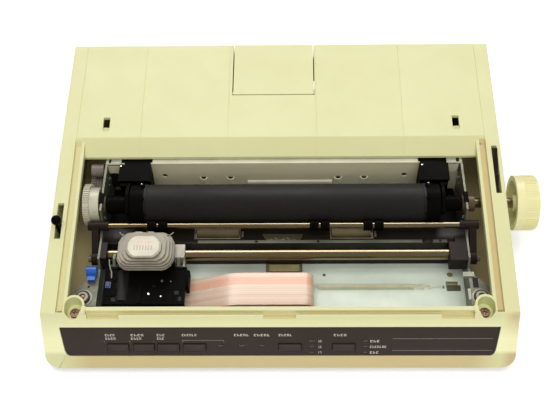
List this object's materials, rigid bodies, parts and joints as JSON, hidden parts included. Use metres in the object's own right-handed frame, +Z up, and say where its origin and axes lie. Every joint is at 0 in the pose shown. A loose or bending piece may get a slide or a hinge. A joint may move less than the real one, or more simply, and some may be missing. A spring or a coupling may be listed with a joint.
{
  "type": "dot matrix printer",
  "caption": "Desk dot matrix printer with its cover off: sloping case, pin-feed platen with feed knob, paper bail, print head carriage on its shaft, front key panel and rear sockets.",
  "frame": {"origin": "middle of the whole printer's plan, knob included, on the surface it stands on", "axes": "+X to the right as seen from the front, along the platen; +Y to the rear; +Z up"},
  "size_m": [0.386, 0.275, 0.08],
  "materials": {
    "case_upper": "fine satin texture moulding, light beige",
    "case_lower": "fine satin texture moulding, darker beige",
    "knob_plastic": "satin moulding, light beige",
    "foot_rubber": "dull moulded rubber",
    "screw_copper": "copper coloured plating",
    "panel_black": "fine matt film",
    "key_black": "matt moulded key tops",
    "lamp_plastic": "clear tinted lens, unlit",
    "circuit_board": "green solder mask",
    "zinc_sheet": "pale galvanised sheet",
    "guide_black": "moulded black plastic",
    "guide_brown": "moulded brown-black plastic",
    "bush_tan": "tan acetal",
    "platen_rubber": "ground black rubber with fine rings",
    "shaft_steel": "polished ground steel",
    "wheel_black": "moulded black plastic",
    "gear_white": "white acetal",
    "gear_grey": "grey acetal",
    "motor_steel": "plated steel can",
    "lever_brown": "dark brown moulding",
    "carriage_black": "satin black moulding",
    "die_cast": "tumbled die casting",
    "head_steel": "black coated steel",
    "fin_silver": "satin die cast fins",
    "pinion_metal": "machined gear",
    "cable_film": "clear film over flat copper conductors",
    "clamp_tan": "tan moulding",
    "spring_steel": "bright spring wire",
    "sensor_blue": "blue moulding",
    "connector_dark": "dark moulding",
    "transformer_steel": "varnished laminations",
    "rocker_red": "red moulding"
  },
  "bodies": {
    "chassis": {"lower_case": "case_lower", "upper_case": "case_upper", "rubber_feet": "foot_rubber", "case_screws": "screw_copper", "control_panel": "panel_black", "panel_board": "circuit_board", "indicator_lamps": "lamp_plastic", "base_plate": "zinc_sheet", "left_side_frame": "zinc_sheet", "right_side_frame": "zinc_sheet", "back_plate": "zinc_sheet", "left_paper_guide": "guide_black", "right_paper_guide": "guide_black", "front_paper_guide": "guide_brown", "shaft_bushes": "bush_tan", "feed_motor": "motor_steel", "guide_shaft": "shaft_steel", "shaft_brackets": "lever_brown", "space_rack": "guide_brown", "flat_cable": "cable_film", "cable_clamps": "clamp_tan", "grommets": "foot_rubber", "floor_spring": "spring_steel", "home_sensor": "sensor_blue", "main_board": "circuit_board", "interface_connector": "connector_dark", "transformer": "transformer_steel", "power_inlet": "connector_dark", "power_switch": "connector_dark"},
    "platen": {"platen_roller": "platen_rubber", "platen_shaft": "shaft_steel", "left_pin_wheel": "wheel_black", "right_pin_wheel": "wheel_black", "platen_gear": "gear_white", "feed_knob": "knob_plastic"},
    "idler": {"idler_gear": "gear_grey"},
    "motor_pinion": {"feed_pinion": "gear_white"},
    "carriage": {"carriage_body": "carriage_black", "bearing_block": "die_cast", "print_head": "head_steel", "heat_sink": "fin_silver", "space_motor": "motor_steel"},
    "carriage_pinion": {"space_pinion": "pinion_metal"},
    "bail": {"bail_rod": "shaft_steel", "bail_arms": "lever_brown"},
    "bail_roller_left": {"left_bail_roller": "wheel_black"},
    "bail_roller_middle": {"middle_bail_roller": "wheel_black"},
    "bail_roller_right": {"right_bail_roller": "wheel_black"},
    "pressure_roller_left": {"left_pressure_roller": "guide_brown"},
    "pressure_roller_right": {"right_pressure_roller": "guide_brown"},
    "paper_release": {"release_lever": "lever_brown"},
    "print_gap": {"gap_lever": "guide_black"},
    "line_feed_button": {"key_line_feed": "key_black"},
    "form_feed_button": {"key_form_feed": "key_black"},
    "top_of_form_button": {"key_top_of_form": "key_black"},
    "select_button": {"key_select": "key_black"},
    "pitch_button": {"key_pitch": "key_black"},
    "mode_button": {"key_mode": "key_black"},
    "rocker": {"power_rocker": "rocker_red"},
    "hatch": {"rear_hatch": "case_upper"}
  },
  "joints": [
    {"name": "platen_turn", "type": "hinge", "parent": "chassis", "child": "platen", "pos_m": [0, -0.0099, 0.0469], "axis": [1, 0, 0], "continuous": true},
    {"name": "idler_turn", "type": "hinge", "parent": "chassis", "child": "idler", "pos_m": [-0.165, 0.0171, 0.03068], "axis": [1, 0, 0], "continuous": true},
    {"name": "feed_pinion_turn", "type": "hinge", "parent": "chassis", "child": "motor_pinion", "pos_m": [-0.165, 0.0358, 0.03068], "axis": [1, 0, 0], "continuous": true},
    {"name": "carriage_slide", "type": "slide", "parent": "chassis", "child": "carriage", "axis": [1, 0, 0], "range_m": [0, 0.2032], "deforming": ["flat_cable"]},
    {"name": "space_pinion_turn", "type": "hinge", "parent": "carriage", "child": "carriage_pinion", "pos_m": [-0.1369, -0.0452, 0.0262], "axis": [0, 1, 0], "range_deg": [0, 2410]},
    {"name": "bail_lift", "type": "hinge", "parent": "chassis", "child": "bail", "pos_m": [0, -0.0524, 0.031], "axis": [1, 0, 0], "range_deg": [0, 12]},
    {"name": "bail_roller_left_turn", "type": "hinge", "parent": "bail", "child": "bail_roller_left", "pos_m": [-0.111, -0.0309, 0.0465], "axis": [1, 0, 0], "continuous": true},
    {"name": "bail_roller_middle_turn", "type": "hinge", "parent": "bail", "child": "bail_roller_middle", "pos_m": [0.0191, -0.0309, 0.0465], "axis": [1, 0, 0], "continuous": true},
    {"name": "bail_roller_right_turn", "type": "hinge", "parent": "bail", "child": "bail_roller_right", "pos_m": [0.0621, -0.0309, 0.0465], "axis": [1, 0, 0], "continuous": true},
    {"name": "pressure_roller_left_turn", "type": "hinge", "parent": "chassis", "child": "pressure_roller_left", "pos_m": [-0.0635, -0.0249, 0.0294], "axis": [1, 0, 0], "continuous": true},
    {"name": "pressure_roller_right_turn", "type": "hinge", "parent": "chassis", "child": "pressure_roller_right", "pos_m": [0.045, -0.0249, 0.0294], "axis": [1, 0, 0], "continuous": true},
    {"name": "paper_release_turn", "type": "hinge", "parent": "chassis", "child": "paper_release", "pos_m": [0.1618, -0.0099, 0.0469], "axis": [1, 0, 0], "range_deg": [0, 45]},
    {"name": "print_gap_turn", "type": "hinge", "parent": "chassis", "child": "print_gap", "pos_m": [-0.187, -0.0355, 0.028], "axis": [1, 0, 0], "range_deg": [-27, 13]},
    {"name": "line_feed_press", "type": "slide", "parent": "chassis", "child": "line_feed_button", "axis": [0, 0.8634, -0.5045], "range_m": [0, 0.0008], "stiffness_N_per_m": 600, "springref_m": -0.0005},
    {"name": "form_feed_press", "type": "slide", "parent": "chassis", "child": "form_feed_button", "axis": [0, 0.8634, -0.5045], "range_m": [0, 0.0008], "stiffness_N_per_m": 600, "springref_m": -0.0005},
    {"name": "top_of_form_press", "type": "slide", "parent": "chassis", "child": "top_of_form_button", "axis": [0, 0.8634, -0.5045], "range_m": [0, 0.0008], "stiffness_N_per_m": 600, "springref_m": -0.0005},
    {"name": "select_press", "type": "slide", "parent": "chassis", "child": "select_button", "axis": [0, 0.8634, -0.5045], "range_m": [0, 0.0008], "stiffness_N_per_m": 600, "springref_m": -0.0005},
    {"name": "pitch_press", "type": "slide", "parent": "chassis", "child": "pitch_button", "axis": [0, 0.8634, -0.5045], "range_m": [0, 0.0008], "stiffness_N_per_m": 600, "springref_m": -0.0005},
    {"name": "mode_press", "type": "slide", "parent": "chassis", "child": "mode_button", "axis": [0, 0.8634, -0.5045], "range_m": [0, 0.0008], "stiffness_N_per_m": 600, "springref_m": -0.0005},
    {"name": "power_rocker_tilt", "type": "hinge", "parent": "chassis", "child": "rocker", "pos_m": [0.164, 0.1055, 0.04], "axis": [0, -1, 0], "range_deg": [0, 16]},
    {"name": "rear_hatch_lift", "type": "hinge", "parent": "chassis", "child": "hatch", "pos_m": [-0.0185, 0.08693, 0.07357], "axis": [1, 0, 0], "range_deg": [0, 75]}
  ],
  "couplings": [
    {"joint": "idler_turn", "follows": "platen_turn", "ratio": -1.2},
    {"joint": "feed_pinion_turn", "follows": "platen_turn", "ratio": 3.8571},
    {"joint": "space_pinion_turn", "follows": "carriage_slide", "rad_per_m": 206.68}
  ]
}
